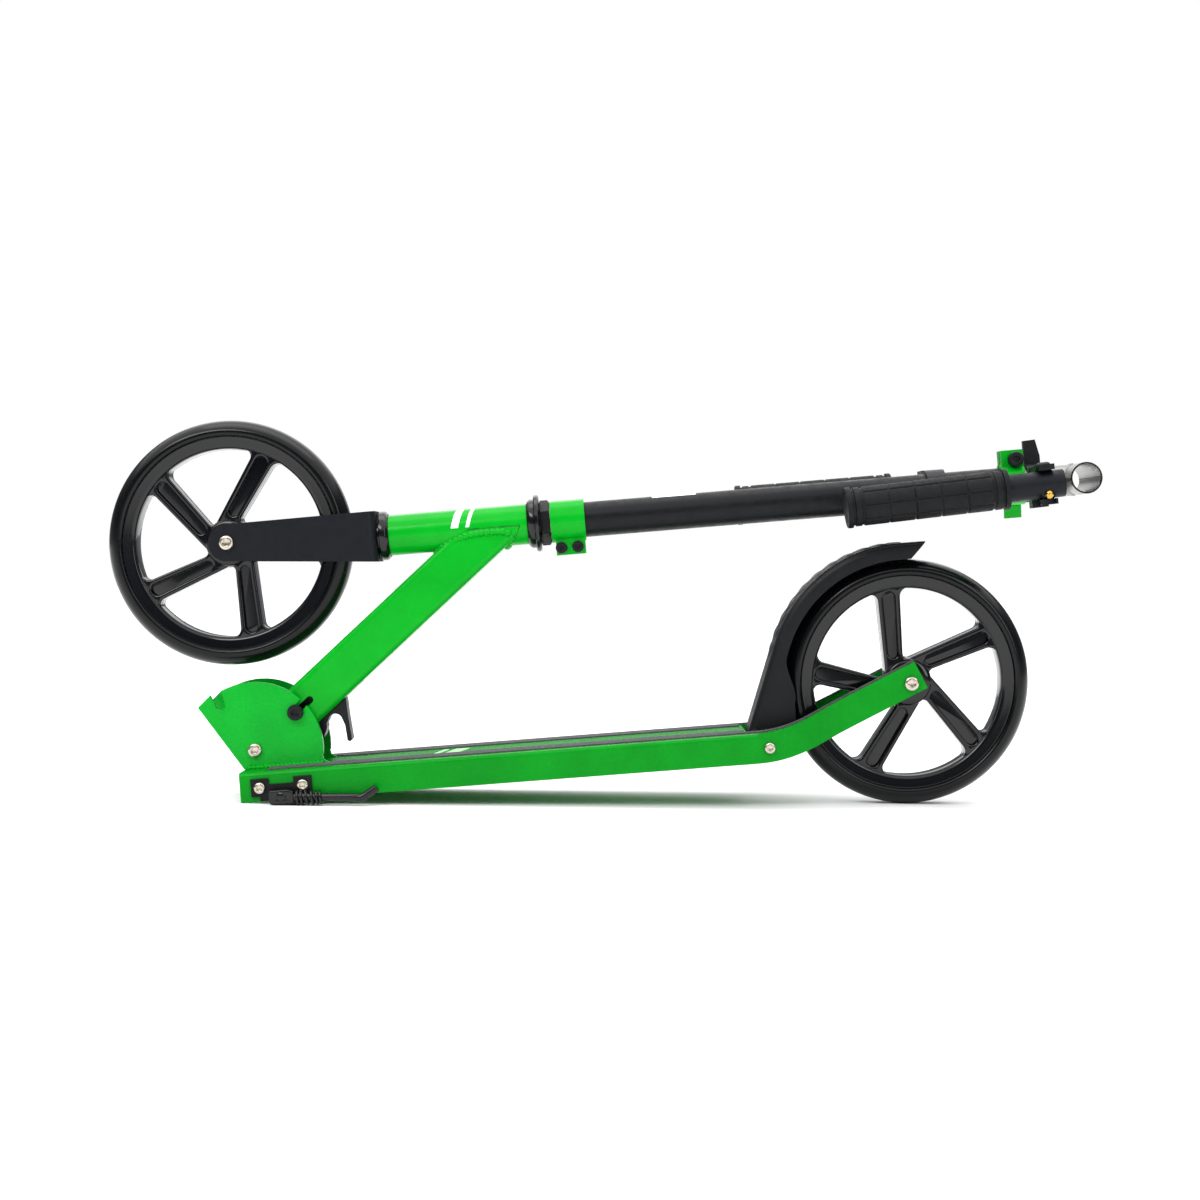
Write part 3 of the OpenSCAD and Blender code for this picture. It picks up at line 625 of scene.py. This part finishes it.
PLATE_OUT, TAIL_OUT, FORK_OUT, DECK_OUT, BRACKET_OUT = 24.5, 31.5, 24.0, 56.1, 58.0
bolt("hinge_bolt_set", "hinge_bolt", DECK, 0, 0, "chassis",
     shaft=4, head_r=5.75, head_h=3.6, out=PLATE_OUT, nut_h=4)
bolt("rear_axle_set", "rear_axle_bolt", DECK, REAR_AXLE.x, REAR_AXLE.z, "chassis",
     shaft=4, head_r=5.9, head_h=3.6, out=TAIL_OUT, nut_h=4)
bolt("front_axle_set", "front_axle_bolt", STEM, FRONT_AXLE.x, FRONT_AXLE.z, "steering",
     shaft=4, head_r=6, head_h=3.6, out=FORK_OUT, nut_h=4)
bolt("fender_bolt_set", "fender_bolt", DECK, FENDER_PIVOT.x, FENDER_PIVOT.z, "chassis",
     shaft=3, head_r=4.4, head_h=2.8, out=DECK_OUT, nut_h=5)
STAND_BOLT_X, STAND_BOLT_Z = (7.2, 41.3), -27.3
stand_bolt_parts = []
for bolt_x in STAND_BOLT_X:
    at = Matrix.Translation((bolt_x, 0, STAND_BOLT_Z)) @ Matrix.Rotation(math.pi / 2, 4, "X")
    nut = moved(hex_nut(8.6, 2.4, 2.5), Matrix.Translation((0, 0, 53)) @ Matrix.Rotation(math.pi, 4, "X"))
    head = moved(round_head(4.6, 2.9, 2.0), Matrix.Translation((0, 0, BRACKET_OUT)))
    stand_bolt_parts += [moved(piece, at) for piece in (head, rod(2.5, 50, BRACKET_OUT), nut)]
make("stand_bolt_set", *merge(*stand_bolt_parts), DECK, "chassis", STEEL, "zinc_steel", 35, ["stand_bolts"])
dome = lathe([(0.05, 0), (3.6, 0), (3.5, 0.5), (2.6, 1.1), (1.2, 1.4), (0.05, 1.45)], 40)
# The rivet's shaft ends just proud of the block, under the dome
rivet = merge(rod(2.5, 53, 68.6), moved(dome, Matrix.Translation((0, 0, 68.4))))
make("stand_rivet_dome", *rivet, near_side(DECK, STAND_PIVOT.x, STAND_PIVOT.z), "chassis", SPRING_BLACK,
     "black_paint", 40, ["stand_rivet"])

# Lock pin heads: black socket heads with a knurled side
PIN_AT = 45.0
pin_head = moved(round_head(6.5, 5, 2.7, 0.22, 0.18, 96), Matrix.Translation((0, 0, PLATE_OUT + 0.3)))
pin_pair = merge(pin_head, moved(pin_head, Matrix.Rotation(math.pi, 4, "X")))
make("pin_head_pair", *pin_pair, near_side(TUBE, PIN_AT, 0), "fold_latch", PLASTIC, "black_plastic", 35,
     ["pin_heads"])

# ---- Welds, all on painted steel ----
DECK_TOP = -14.8
for side, y in (("near", -PLATE_OUT - 0.6), ("far", PLATE_OUT + 0.6)):
    weld_bead("plate_weld_" + side, [(-7, y, DECK_TOP + 0.8), (55, y, DECK_TOP + 0.8)], 2.4, DECK,
              "chassis", pitch=3.3, depth=0.42)
HEAD_R, STEM_R, TUBE_HALF_H, TUBE_HALF_W = 16.5, 14.3, 18.0, 16.5
seam = []
for i in range(72):
    a = TAU * i / 72
    p = TUBE_HALF_H * math.copysign(abs(math.cos(a)) ** 0.5, math.cos(a))
    y = TUBE_HALF_W * math.copysign(abs(math.sin(a)) ** 0.5, math.sin(a)) * 0.97
    n = AXIS_N - math.sqrt(max(HEAD_R ** 2 - y * y, 9))
    t = (n - p * math.cos(TUBE_LIFT)) / math.sin(TUBE_LIFT)
    seam.append((t * math.cos(TUBE_LIFT) - p * math.sin(TUBE_LIFT), y, n))
weld_bead("head_weld", seam, 3.2, STEM, "stem", closed=True, pitch=4.4, depth=0.3)


# ---- Stripes and blank labels ----
def wrap_patch(name, r, corners, body):
    """A thin white film on a tube: corners are (s, degrees from the underside) in order round it."""
    steps = 14
    a, b, c, d = (Vector((s, t)) for s, t in corners)
    rows = []
    for radius in (r + 0.02, r + 0.16):
        for i in range(steps + 1):
            p, q = a.lerp(b, i / steps), d.lerp(c, i / steps)
            rows.append([(radius * math.cos(math.radians(w.y)), radius * math.sin(math.radians(w.y)), w.x)
                         for w in (p.lerp(q, k / 4) for k in range(5))])
    half = steps + 1
    ring_rows = rows[:half] + rows[half:][::-1]
    make(name, *grid(ring_rows, False, True), AXIS, body, WHITE, "white_nylon", 50)


# Angles are counted from the underside; -90 faces the near side and 180 is the top
for i, (s, width) in enumerate(((172, 6.0), (184, 3.0))):
    stripe = [(s, -95), (s + 5.5, -165), (s + 5.5 + width, -165), (s + width, -95)]
    wrap_patch(f"head_stripe_{i}", HEAD_R, stripe, "stem")
wrap_patch("stem_label", STEM_R, [(337, 150), (337, 205), (373, 205), (373, 150)], "steering")
for i, (x, width) in enumerate(((142, 5), (152, 12))):
    mark = rounded([(x, -14), (x + width, -14), (x + width + 7, 14), (x + 7, 14)], 1.2)
    make(f"deck_mark_{i}", *plate([mark], DECK_TOP - 0.02, DECK_TOP + 0.14, 0.02), DECK, "chassis",
         PALE_GREEN, "white_nylon", 40)

# ---- Headset: cups, flange washer and nut with rounded lips ----
CUP_LOW, CUP_HIGH, NUT_S, CLAMP_BASE = 113.4, 241.6, 244.5, 253.0
cup = [(17, 0), (18.8, 0), (19.8, 0.5), (20, 1.4), (20, 4.6), (19.4, 5.8), (17.6, 7.4), (13.6, 7.6),
       (13.6, 5.8), (17, 5.8)]
cup_pair = merge(moved(lathe(cup), Matrix.Translation((0, 0, CUP_LOW))),
                 moved(lathe(cup), Matrix.Translation((0, 0, CUP_HIGH)) @ Matrix.Rotation(math.pi, 4, "X")))
make("headset_cup_pair", *cup_pair, AXIS, "stem", GLOSS, "black_gloss", 35, ["headset_cups"])
flange = [(13, 242), (20.7, 242), (21.1, 240.6), (22.4, 240.2), (23.2, 241), (23.2, 243.3), (22.4, 244.1),
          (19.5, 244.3), (13, 244.4)]
make("dust_washer_flange", *lathe(flange), AXIS, "steering", GLOSS, "black_paint", 35, ["dust_washer"])
nut_rows = []
for i in range(96):
    a = TAU * i / 96
    hexa = hex_radius(16, a)
    soft = min(hexa, 16.9)
    nut_rows.append([(q * math.cos(a), q * math.sin(a), NUT_S + z) for q, z in (
        (13, 0), (soft * 0.98, 0), (hexa, 0.9), (hexa, 6.8), (soft * 0.98, 8.2), (14.2, 8.2), (13, 7.4))])
make("lock_nut_hex", *grid(nut_rows, True, True), AXIS, "steering", BLACK_PAINT, "black_paint", 30,
     ["lock_nut"])

# ---- Fender: a pressed shell swept round the wheel, straight at its tip and at its foot ----
CROWN_R, FENDER_HALF, SHELL_T = 113.4, 21.0, 2.5
TIP_A, STRAIGHT_A, LEAN_A, FOOT_L = 79.0, 90.0, 159.0, 77.0
SKIRT, LOW_SKIRT = 13.4, 12.2        # depth of the sides along the tip and at the foot's start
RIB_PITCH, RIB_H, RIB_FROM, RIB_TO = 14.5, 1.1, 6.0, 150.0


def ease(t):
    t = min(max(t, 0), 1)
    return t * t * (3 - 2 * t)


def fender_stations():
    """From tip to foot: crown point, inward direction, skirt depth, slant, place along the crown."""
    hub = Vector((REAR_AXLE.x, REAR_AXLE.z))

    def spoke(a):
        return Vector((math.cos(math.radians(a)), math.sin(math.radians(a))))
    out = []
    way = spoke(STRAIGHT_A)
    ahead = Vector((way.y, -way.x))
    tip_l = CROWN_R * math.tan(math.radians(STRAIGHT_A - TIP_A))
    for i in range(14):
        left = 1 - i / 14
        out.append((hub + way * CROWN_R + ahead * tip_l * left, -way, SKIRT, -ahead * left, -tip_l * left))
    count = 110
    for i in range(count + 1):
        t = i / count
        way = spoke(STRAIGHT_A + (LEAN_A - STRAIGHT_A) * t)
        along = CROWN_R * math.radians(LEAN_A - STRAIGHT_A) * t
        out.append((hub + way * CROWN_R, -way, SKIRT + (LOW_SKIRT - SKIRT) * t, Vector((0, 0)), along))
    down = Vector((-way.y, way.x))
    for i in range(1, 45):
        q = FOOT_L * i / 44
        depth = LOW_SKIRT + 17 * ease((q - 8) / 34) + 0.36 * max(0, q - 42)
        out.append((hub + way * CROWN_R + down * q, -way, depth, Vector((0, 0)), along + q))
    return out


def rib(along, y):
    """Height of the arrow-shaped ribs pressed into the crown."""
    place = along + abs(y) * 0.7
    if not RIB_FROM < place < RIB_TO:
        return 0.0
    share = (place / RIB_PITCH) % 1
    return RIB_H * math.sin(math.pi * min(share / 0.72, 1)) ** 0.7 * ease((14 - abs(y)) / 3)


def fender_section(depth, along):
    """Half-open section as a closed loop of (y, depth): outer line, then inner line."""
    shoulder = 6.0
    outer = [(-FENDER_HALF, depth), (-FENDER_HALF, depth * 0.5 + shoulder * 0.5)]
    outer += [(-FENDER_HALF + shoulder - x, shoulder - z) for x, z in arc_points(0, 0, shoulder, 0, 90, 6)]
    outer += [(y, -rib(along, y)) for y in (-13.5, -12, -10, -8, -6, -4, -2, 0)]
    outer += [(-y, d) for y, d in reversed(outer[:-1])]
    narrower = (FENDER_HALF - SHELL_T) / FENDER_HALF
    inner = [(y * narrower, min(max(d, 0) + SHELL_T, depth) if abs(y) < FENDER_HALF - 0.1 else d)
             for y, d in outer]
    return outer + inner[::-1]


rows = []
for point, inward, depth, slant, along in fender_stations():
    rows.append([(point.x + (inward.x + slant.x) * d, y, point.y + (inward.y + slant.y) * d)
                 for y, d in fender_section(depth, along)])
shell = grid(rows, True, False, cap=True)
lug = rounded([(398.5, -14), (434, -14), (421.5, -27), (418, -32.5), (408, -32.5), (405, -26)], 3.5)
lug_hole = arc_points(FENDER_PIVOT.x, FENDER_PIVOT.z, 3.05, 0, 350, 35)
LUG_IN = FENDER_HALF - SHELL_T
lugs = [moved(plate([lug, lug_hole], z0, z1, 0.4), Matrix.Rotation(math.pi / 2, 4, "X"))
        for z0, z1 in ((LUG_IN, FENDER_HALF), (-FENDER_HALF, -LUG_IN))]
make("fender_shell", *merge(shell, *lugs), DECK, "brake_fender", FENDER, "black_plastic", 38, ["fender"])

# ---- Springs ----
FENDER_WIRE = 0.9
coil = moved(helix(radius=4.6, wire=FENDER_WIRE, length=5, turns=4),
             Matrix.Rotation(math.pi / 2, 4, "X") @ Matrix.Translation((0, 0, -2.5)))
coil_leg = sweep([(-4.6, 0, 0), (-7, 0, 5), (-6, 0, 9.5)], FENDER_WIRE, 10)
make("fender_coil", *merge(coil, coil_leg), DECK @ Matrix.Translation((FENDER_PIVOT.x, 0, FENDER_PIVOT.z)),
     "chassis", STEEL, "zinc_steel", 60, ["fender_spring"])
latch_frame = TUBE @ Matrix.Translation((82.5, 0, 0)) @ Matrix.Rotation(math.pi / 2, 4, "Y")
make("latch_coil", *helix(radius=5, wire=1.1, length=16, turns=6), latch_frame, "stem", STEEL,
     "zinc_steel", 60, ["latch_spring"])

# ---- Kickstand ----
STAND_Y = -64.2
LEG_R = 3.2
leg_path = smooth_path([(x, STAND_Y, z) for x, z in (
    (30, -35.8), (48, -36.9), (66, -38.1), (80, -39.2), (86.5, -40.2), (91, -38.8), (99, -34.2),
    (100.6, -33.2))], 8)
make("stand_rod", *sweep(leg_path, lambda t: LEG_R * min(1, 0.55 + (1 - t) * 22) ** 0.5, 20), DECK,
     "kickstand", SPRING_BLACK, "black_paint", 50, ["stand_leg"])
coil_frame = DECK @ Matrix.Translation((35.4, STAND_Y, -36.2)) @ Matrix.Rotation(math.radians(93.6), 4, "Y")
make("stand_coil", *helix(radius=4.75, wire=1.15, length=21, turns=6), coil_frame, "kickstand",
     SPRING_BLACK, "black_paint", 60, ["stand_spring"])
BLOCK_IN, BLOCK_OUT = 58.4, 68.4
block = plate([rounded([(15.4, -40), (34.8, -40), (34.8, -30.8), (30, -29.2), (15.4, -29.2)], 1.6),
               arc_points(STAND_PIVOT.x, STAND_PIVOT.z, 2.56, 0, 350, 35)], BLOCK_IN, BLOCK_OUT, 0.8)
make("stand_housing", *moved(block, Matrix.Rotation(math.pi / 2, 4, "X")), DECK, "kickstand", SPRING_BLACK,
     "black_paint", 35, ["stand_block"])


# ---- Grips ----
GRIP_R, GRIP_L, STUB = 15.75, 130.0, 45.0
END_R, GROOVE_R, BORE = 16.5, 14.7, 11.12
BLOCK_L, BLOCKS = 20.8, 8            # length of a rubber block, and blocks round the grip


def grip_radius(z, a):
    """Rubber surface with square blocks: grooves along and round, bands at both ends."""
    end = min(z, GRIP_L - z)
    if end < 4.2:
        return END_R - 0.5 * max(0, (1.2 - end) / 1.2) ** 2
    if end < 6.4 or 11.2 < end < 13.0:
        return GROOVE_R
    if end < 11.2:
        return GRIP_R - 0.15
    cell = ((z - 13) / BLOCK_L) % 1
    across = (a / (TAU / BLOCKS)) % 1
    groove = min(cell, 1 - cell) * BLOCK_L
    groove_a = min(across, 1 - across) * GRIP_R * TAU / BLOCKS
    depth = max(0, 1 - groove / 1.1) + max(0, 1 - groove_a / 1.0)
    return GRIP_R - 0.9 * min(1, depth)


def grip_part():
    """Outer surface, domed closed end, and the bore that the metal tube fills."""
    steps = [0, 0.3, 0.9, 1.8]
    z = 2.4
    while z < GRIP_L - 2.4:
        steps.append(z)
        z += 0.5
    steps += [GRIP_L - 1.8, GRIP_L - 0.9, GRIP_L - 0.3, GRIP_L]
    turns = [TAU * i / 160 for i in range(160)]

    def circle(radius, z):
        return [(radius(z, a) * math.cos(a), radius(z, a) * math.sin(a), STUB + z) for a in turns]

    def plain(r, z):
        return circle(lambda _z, _a: r, z)
    inside = [plain(0.3, GRIP_L - 4), plain(BORE, GRIP_L - 4), plain(BORE, 0.5), plain(BORE + 0.48, 0)]
    dome = [plain(13.5, GRIP_L), plain(11, GRIP_L - 0.6), plain(4, GRIP_L - 0.8), plain(0.3, GRIP_L - 0.8)]
    return grid(inside + [circle(grip_radius, z) for z in steps] + dome, True, False, cap=True)


def stowed(end_s, end_n, side, tilt):
    """The frame of a stowed grip: local z from the tube's open end to the grip's outer end, local x up."""
    return STEM @ Matrix.Translation((end_s, side * GRIP_Y, end_n)) \
        @ Matrix.Rotation(math.radians(-90 - tilt), 4, "Y")


GRIP_Y = 38.0
NEAR = stowed(665, AXIS_N - 2.4, -1, 2)
FAR = stowed(583, AXIS_N + 2, 1, 0)
make("near_grip_rubber", *grip_part(), NEAR, "left_handle", RUBBER, "black_rubber", 42, ["near_grip"])
make("far_grip_rubber", *grip_part(), FAR, "right_handle", RUBBER, "black_rubber", 42, ["far_grip"])

# Clamp bolt: knurled round head, shaft and the eye that holds the lever's pin
CLAMP_S, CLAMP_UP, EAR_HALF = 634.0, 20.0, 9.0
head = moved(round_head(6.25, 6, 2.6, 0.16, 0.16, 96), Matrix.Translation((0, 0, EAR_HALF)))
eye = moved(tube_ring(3.4, 1.5, -3, 3, 0.5, 48), Matrix.Translation((0, 0, -13.5))
            @ Matrix.Rotation(math.pi / 2, 4, "Y"))
clamp_frame = near_side(STEM, CLAMP_S, AXIS_N + CLAMP_UP)
make("clamp_bolt_set", *merge(head, rod(3, -11.5, EAR_HALF), eye), clamp_frame, "steering", PLASTIC,
     "black_plastic", 35, ["clamp_bolt"])
SCREW_OUT, SCREW_AT = 21.5, (7.3, 20.7)
screws = []
screw_head = moved(round_head(4.85, 4.8, 2.2, 0.18, 0.14, 80), Matrix.Translation((0, 0, EAR_HALF)))
screw_nut = moved(hex_nut(8.0, 3, 2.5),
                  Matrix.Translation((0, 0, -EAR_HALF)) @ Matrix.Rotation(math.pi, 4, "X"))
for z in SCREW_AT:
    at = Matrix.Translation((SCREW_OUT, 0, z)) @ Matrix.Rotation(math.pi / 2, 4, "X")
    screws += [moved(piece, at) for piece in (screw_head, rod(2.5, -EAR_HALF, EAR_HALF), screw_nut)]
make("clamp_screw_pair", *merge(*screws), AXIS @ Matrix.Translation((0, 0, CLAMP_BASE)), "steering",
     PLASTIC, "black_plastic", 35, ["clamp_screws"])

# Joint between upright and cross tube: a low brazed fillet
CROSS_R, CROSS_BORE, CROSS_HALF, UPRIGHT_R = 12.7, 11.3, 36.5, 12.5
braze = []
for i in range(48):
    a = TAU * i / 48
    x, y = UPRIGHT_R * math.cos(a), UPRIGHT_R * math.sin(a)
    braze.append((x, y, CROSS_S - math.sqrt(max(CROSS_R ** 2 - x * x, 0.5))))
bead = weld_bead("cross_weld", braze, 1.1, AXIS, "handlebar", closed=True, pitch=2.0)
bead.data.materials[0] = ALLOY

# Black rings on the cross tube's cut ends, painted shade standing for the shade on the cut edges, and the flat
# weld seam inside it
CUT = 0.3
cross_frame = STEM @ Matrix.Translation((CROSS_S, 0, AXIS_N))
shaded_cut_ends = [moved(tube_ring(CROSS_R, CROSS_BORE + 0.05, z, z + CUT, 0.1),
                  Matrix.Rotation(math.pi / 2, 4, "X")) for z in (CROSS_HALF, -CROSS_HALF - CUT)]
make("cross_tube_painted_shade_rings", *merge(*shaded_cut_ends), cross_frame, "handlebar", GLOSS, "black_gloss", 35)
seam_line = [(CROSS_BORE, -0.05), (CROSS_BORE, 0.05), (CROSS_BORE - 0.12, 0.04), (CROSS_BORE - 0.12, -0.04)]
seam_rows = [[(r * math.cos(a), y, r * math.sin(a)) for r, a in seam_line]
             for y in (CUT - CROSS_HALF, 0, CROSS_HALF - CUT)]
make("cross_tube_seam", *grid(seam_rows, True, False, cap=True), cross_frame, "handlebar", SPRING_BLACK,
     "black_gloss", 35)

# The near clip's round barrel, over its flat jaw
barrel = [(14.2, -2.5, z) for z in (9.4, 9.7, 10.6, 12, 18, 19.6, 20.8, 21.2)]
barrel_r = (1.6, 2.7, 3.6, 3.95, 3.95, 3.5, 2.4, 1.4)
make("near_clip_barrel", *sweep(barrel, lambda t: barrel_r[round(t * 7)], 32), NEAR, "handlebar", PLASTIC,
     "black_plastic", 40)

# ---- Stage and light ----
floor = bpy.data.objects.new("floor", bpy.data.meshes.new("floor"))
SPAN = 8.0
corners = [(-SPAN, -SPAN, 0), (SPAN, -SPAN, 0), (SPAN, SPAN, 0), (-SPAN, SPAN, 0)]
floor.data.from_pydata(corners, [], [(0, 1, 2, 3)])
bpy.context.collection.objects.link(floor)
floor_look = new_material("floor_paper", (0.93, 0.93, 0.93, 1), 0.9, edge=0)
vary_colour(floor_look, noise(floor_look, 3, 2), (0.925, 0.925, 0.925, 1), (0.94, 0.94, 0.94, 1))
floor.data.materials.append(floor_look["mat"])

# A white room to look at; the light from it is softer, grey from below and bright overhead
world = bpy.data.worlds.new("studio")
world.use_nodes = True
sky = world.node_tree
back = sky.nodes["Background"]
back.inputs["Color"].default_value = (1, 1, 1, 1)
back.inputs["Strength"].default_value = 1.0
room = sky.nodes.new("ShaderNodeBackground")
room.inputs["Strength"].default_value = 1.0
direction = sky.nodes.new("ShaderNodeTexCoord")
height = sky.nodes.new("ShaderNodeSeparateXYZ")
fade = sky.nodes.new("ShaderNodeValToRGB")
for i, (place, tone) in enumerate(((0.42, 0.5), (0.62, 0.1))):
    fade.color_ramp.elements[i].position = place
    fade.color_ramp.elements[i].color = (tone * 0.97, tone, tone * 1.06, 1)
overhead = fade.color_ramp.elements.new(0.95)
overhead.color = (0.85, 0.85, 0.85, 1)
half = sky.nodes.new("ShaderNodeMapRange")
half.inputs["From Min"].default_value = -1
ray = sky.nodes.new("ShaderNodeLightPath")
choice = sky.nodes.new("ShaderNodeMixShader")
sky.links.new(direction.outputs["Generated"], height.inputs[0])
sky.links.new(height.outputs["Z"], half.inputs["Value"])
sky.links.new(half.outputs["Result"], fade.inputs["Fac"])
sky.links.new(fade.outputs["Color"], room.inputs["Color"])
sky.links.new(ray.outputs["Is Camera Ray"], choice.inputs["Fac"])
sky.links.new(room.outputs["Background"], choice.inputs[1])
sky.links.new(back.outputs["Background"], choice.inputs[2])
sky.links.new(choice.outputs["Shader"], sky.nodes["World Output"].inputs["Surface"])
bpy.context.scene.world = world
bpy.context.scene.view_settings.view_transform = "Standard"


def area_light(name, place, target, size, power):
    light = bpy.data.lights.new(name, "AREA")
    light.shape = "RECTANGLE"
    light.size, light.size_y = size
    light.energy = power
    obj = bpy.data.objects.new(name, light)
    bpy.context.collection.objects.link(obj)
    obj.location = place
    obj.rotation_euler = (Vector(target) - Vector(place)).to_track_quat("-Z", "Y").to_euler()


area_light("key", (-1.2, -1.7, 1.9), (0, 0, 0.15), (1.6, 0.6), 26)
area_light("fill", (1.6, -1.8, 1.0), (0, 0, 0.15), (0.5, 1.4), 10)
area_light("top", (0, 0.2, 2.1), (0, 0, 0.1), (2.2, 0.9), 12)
area_light("back", (0, 2.2, 1.2), (0, 0, 0.15), (2.4, 1.2), 12)

# An even, soft light from above keeps the whole floor white
sun = bpy.data.lights.new("ceiling", "SUN")
sun.energy = 2.6
sun.angle = math.radians(120)
ceiling = bpy.data.objects.new("ceiling", sun)
bpy.context.collection.objects.link(ceiling)
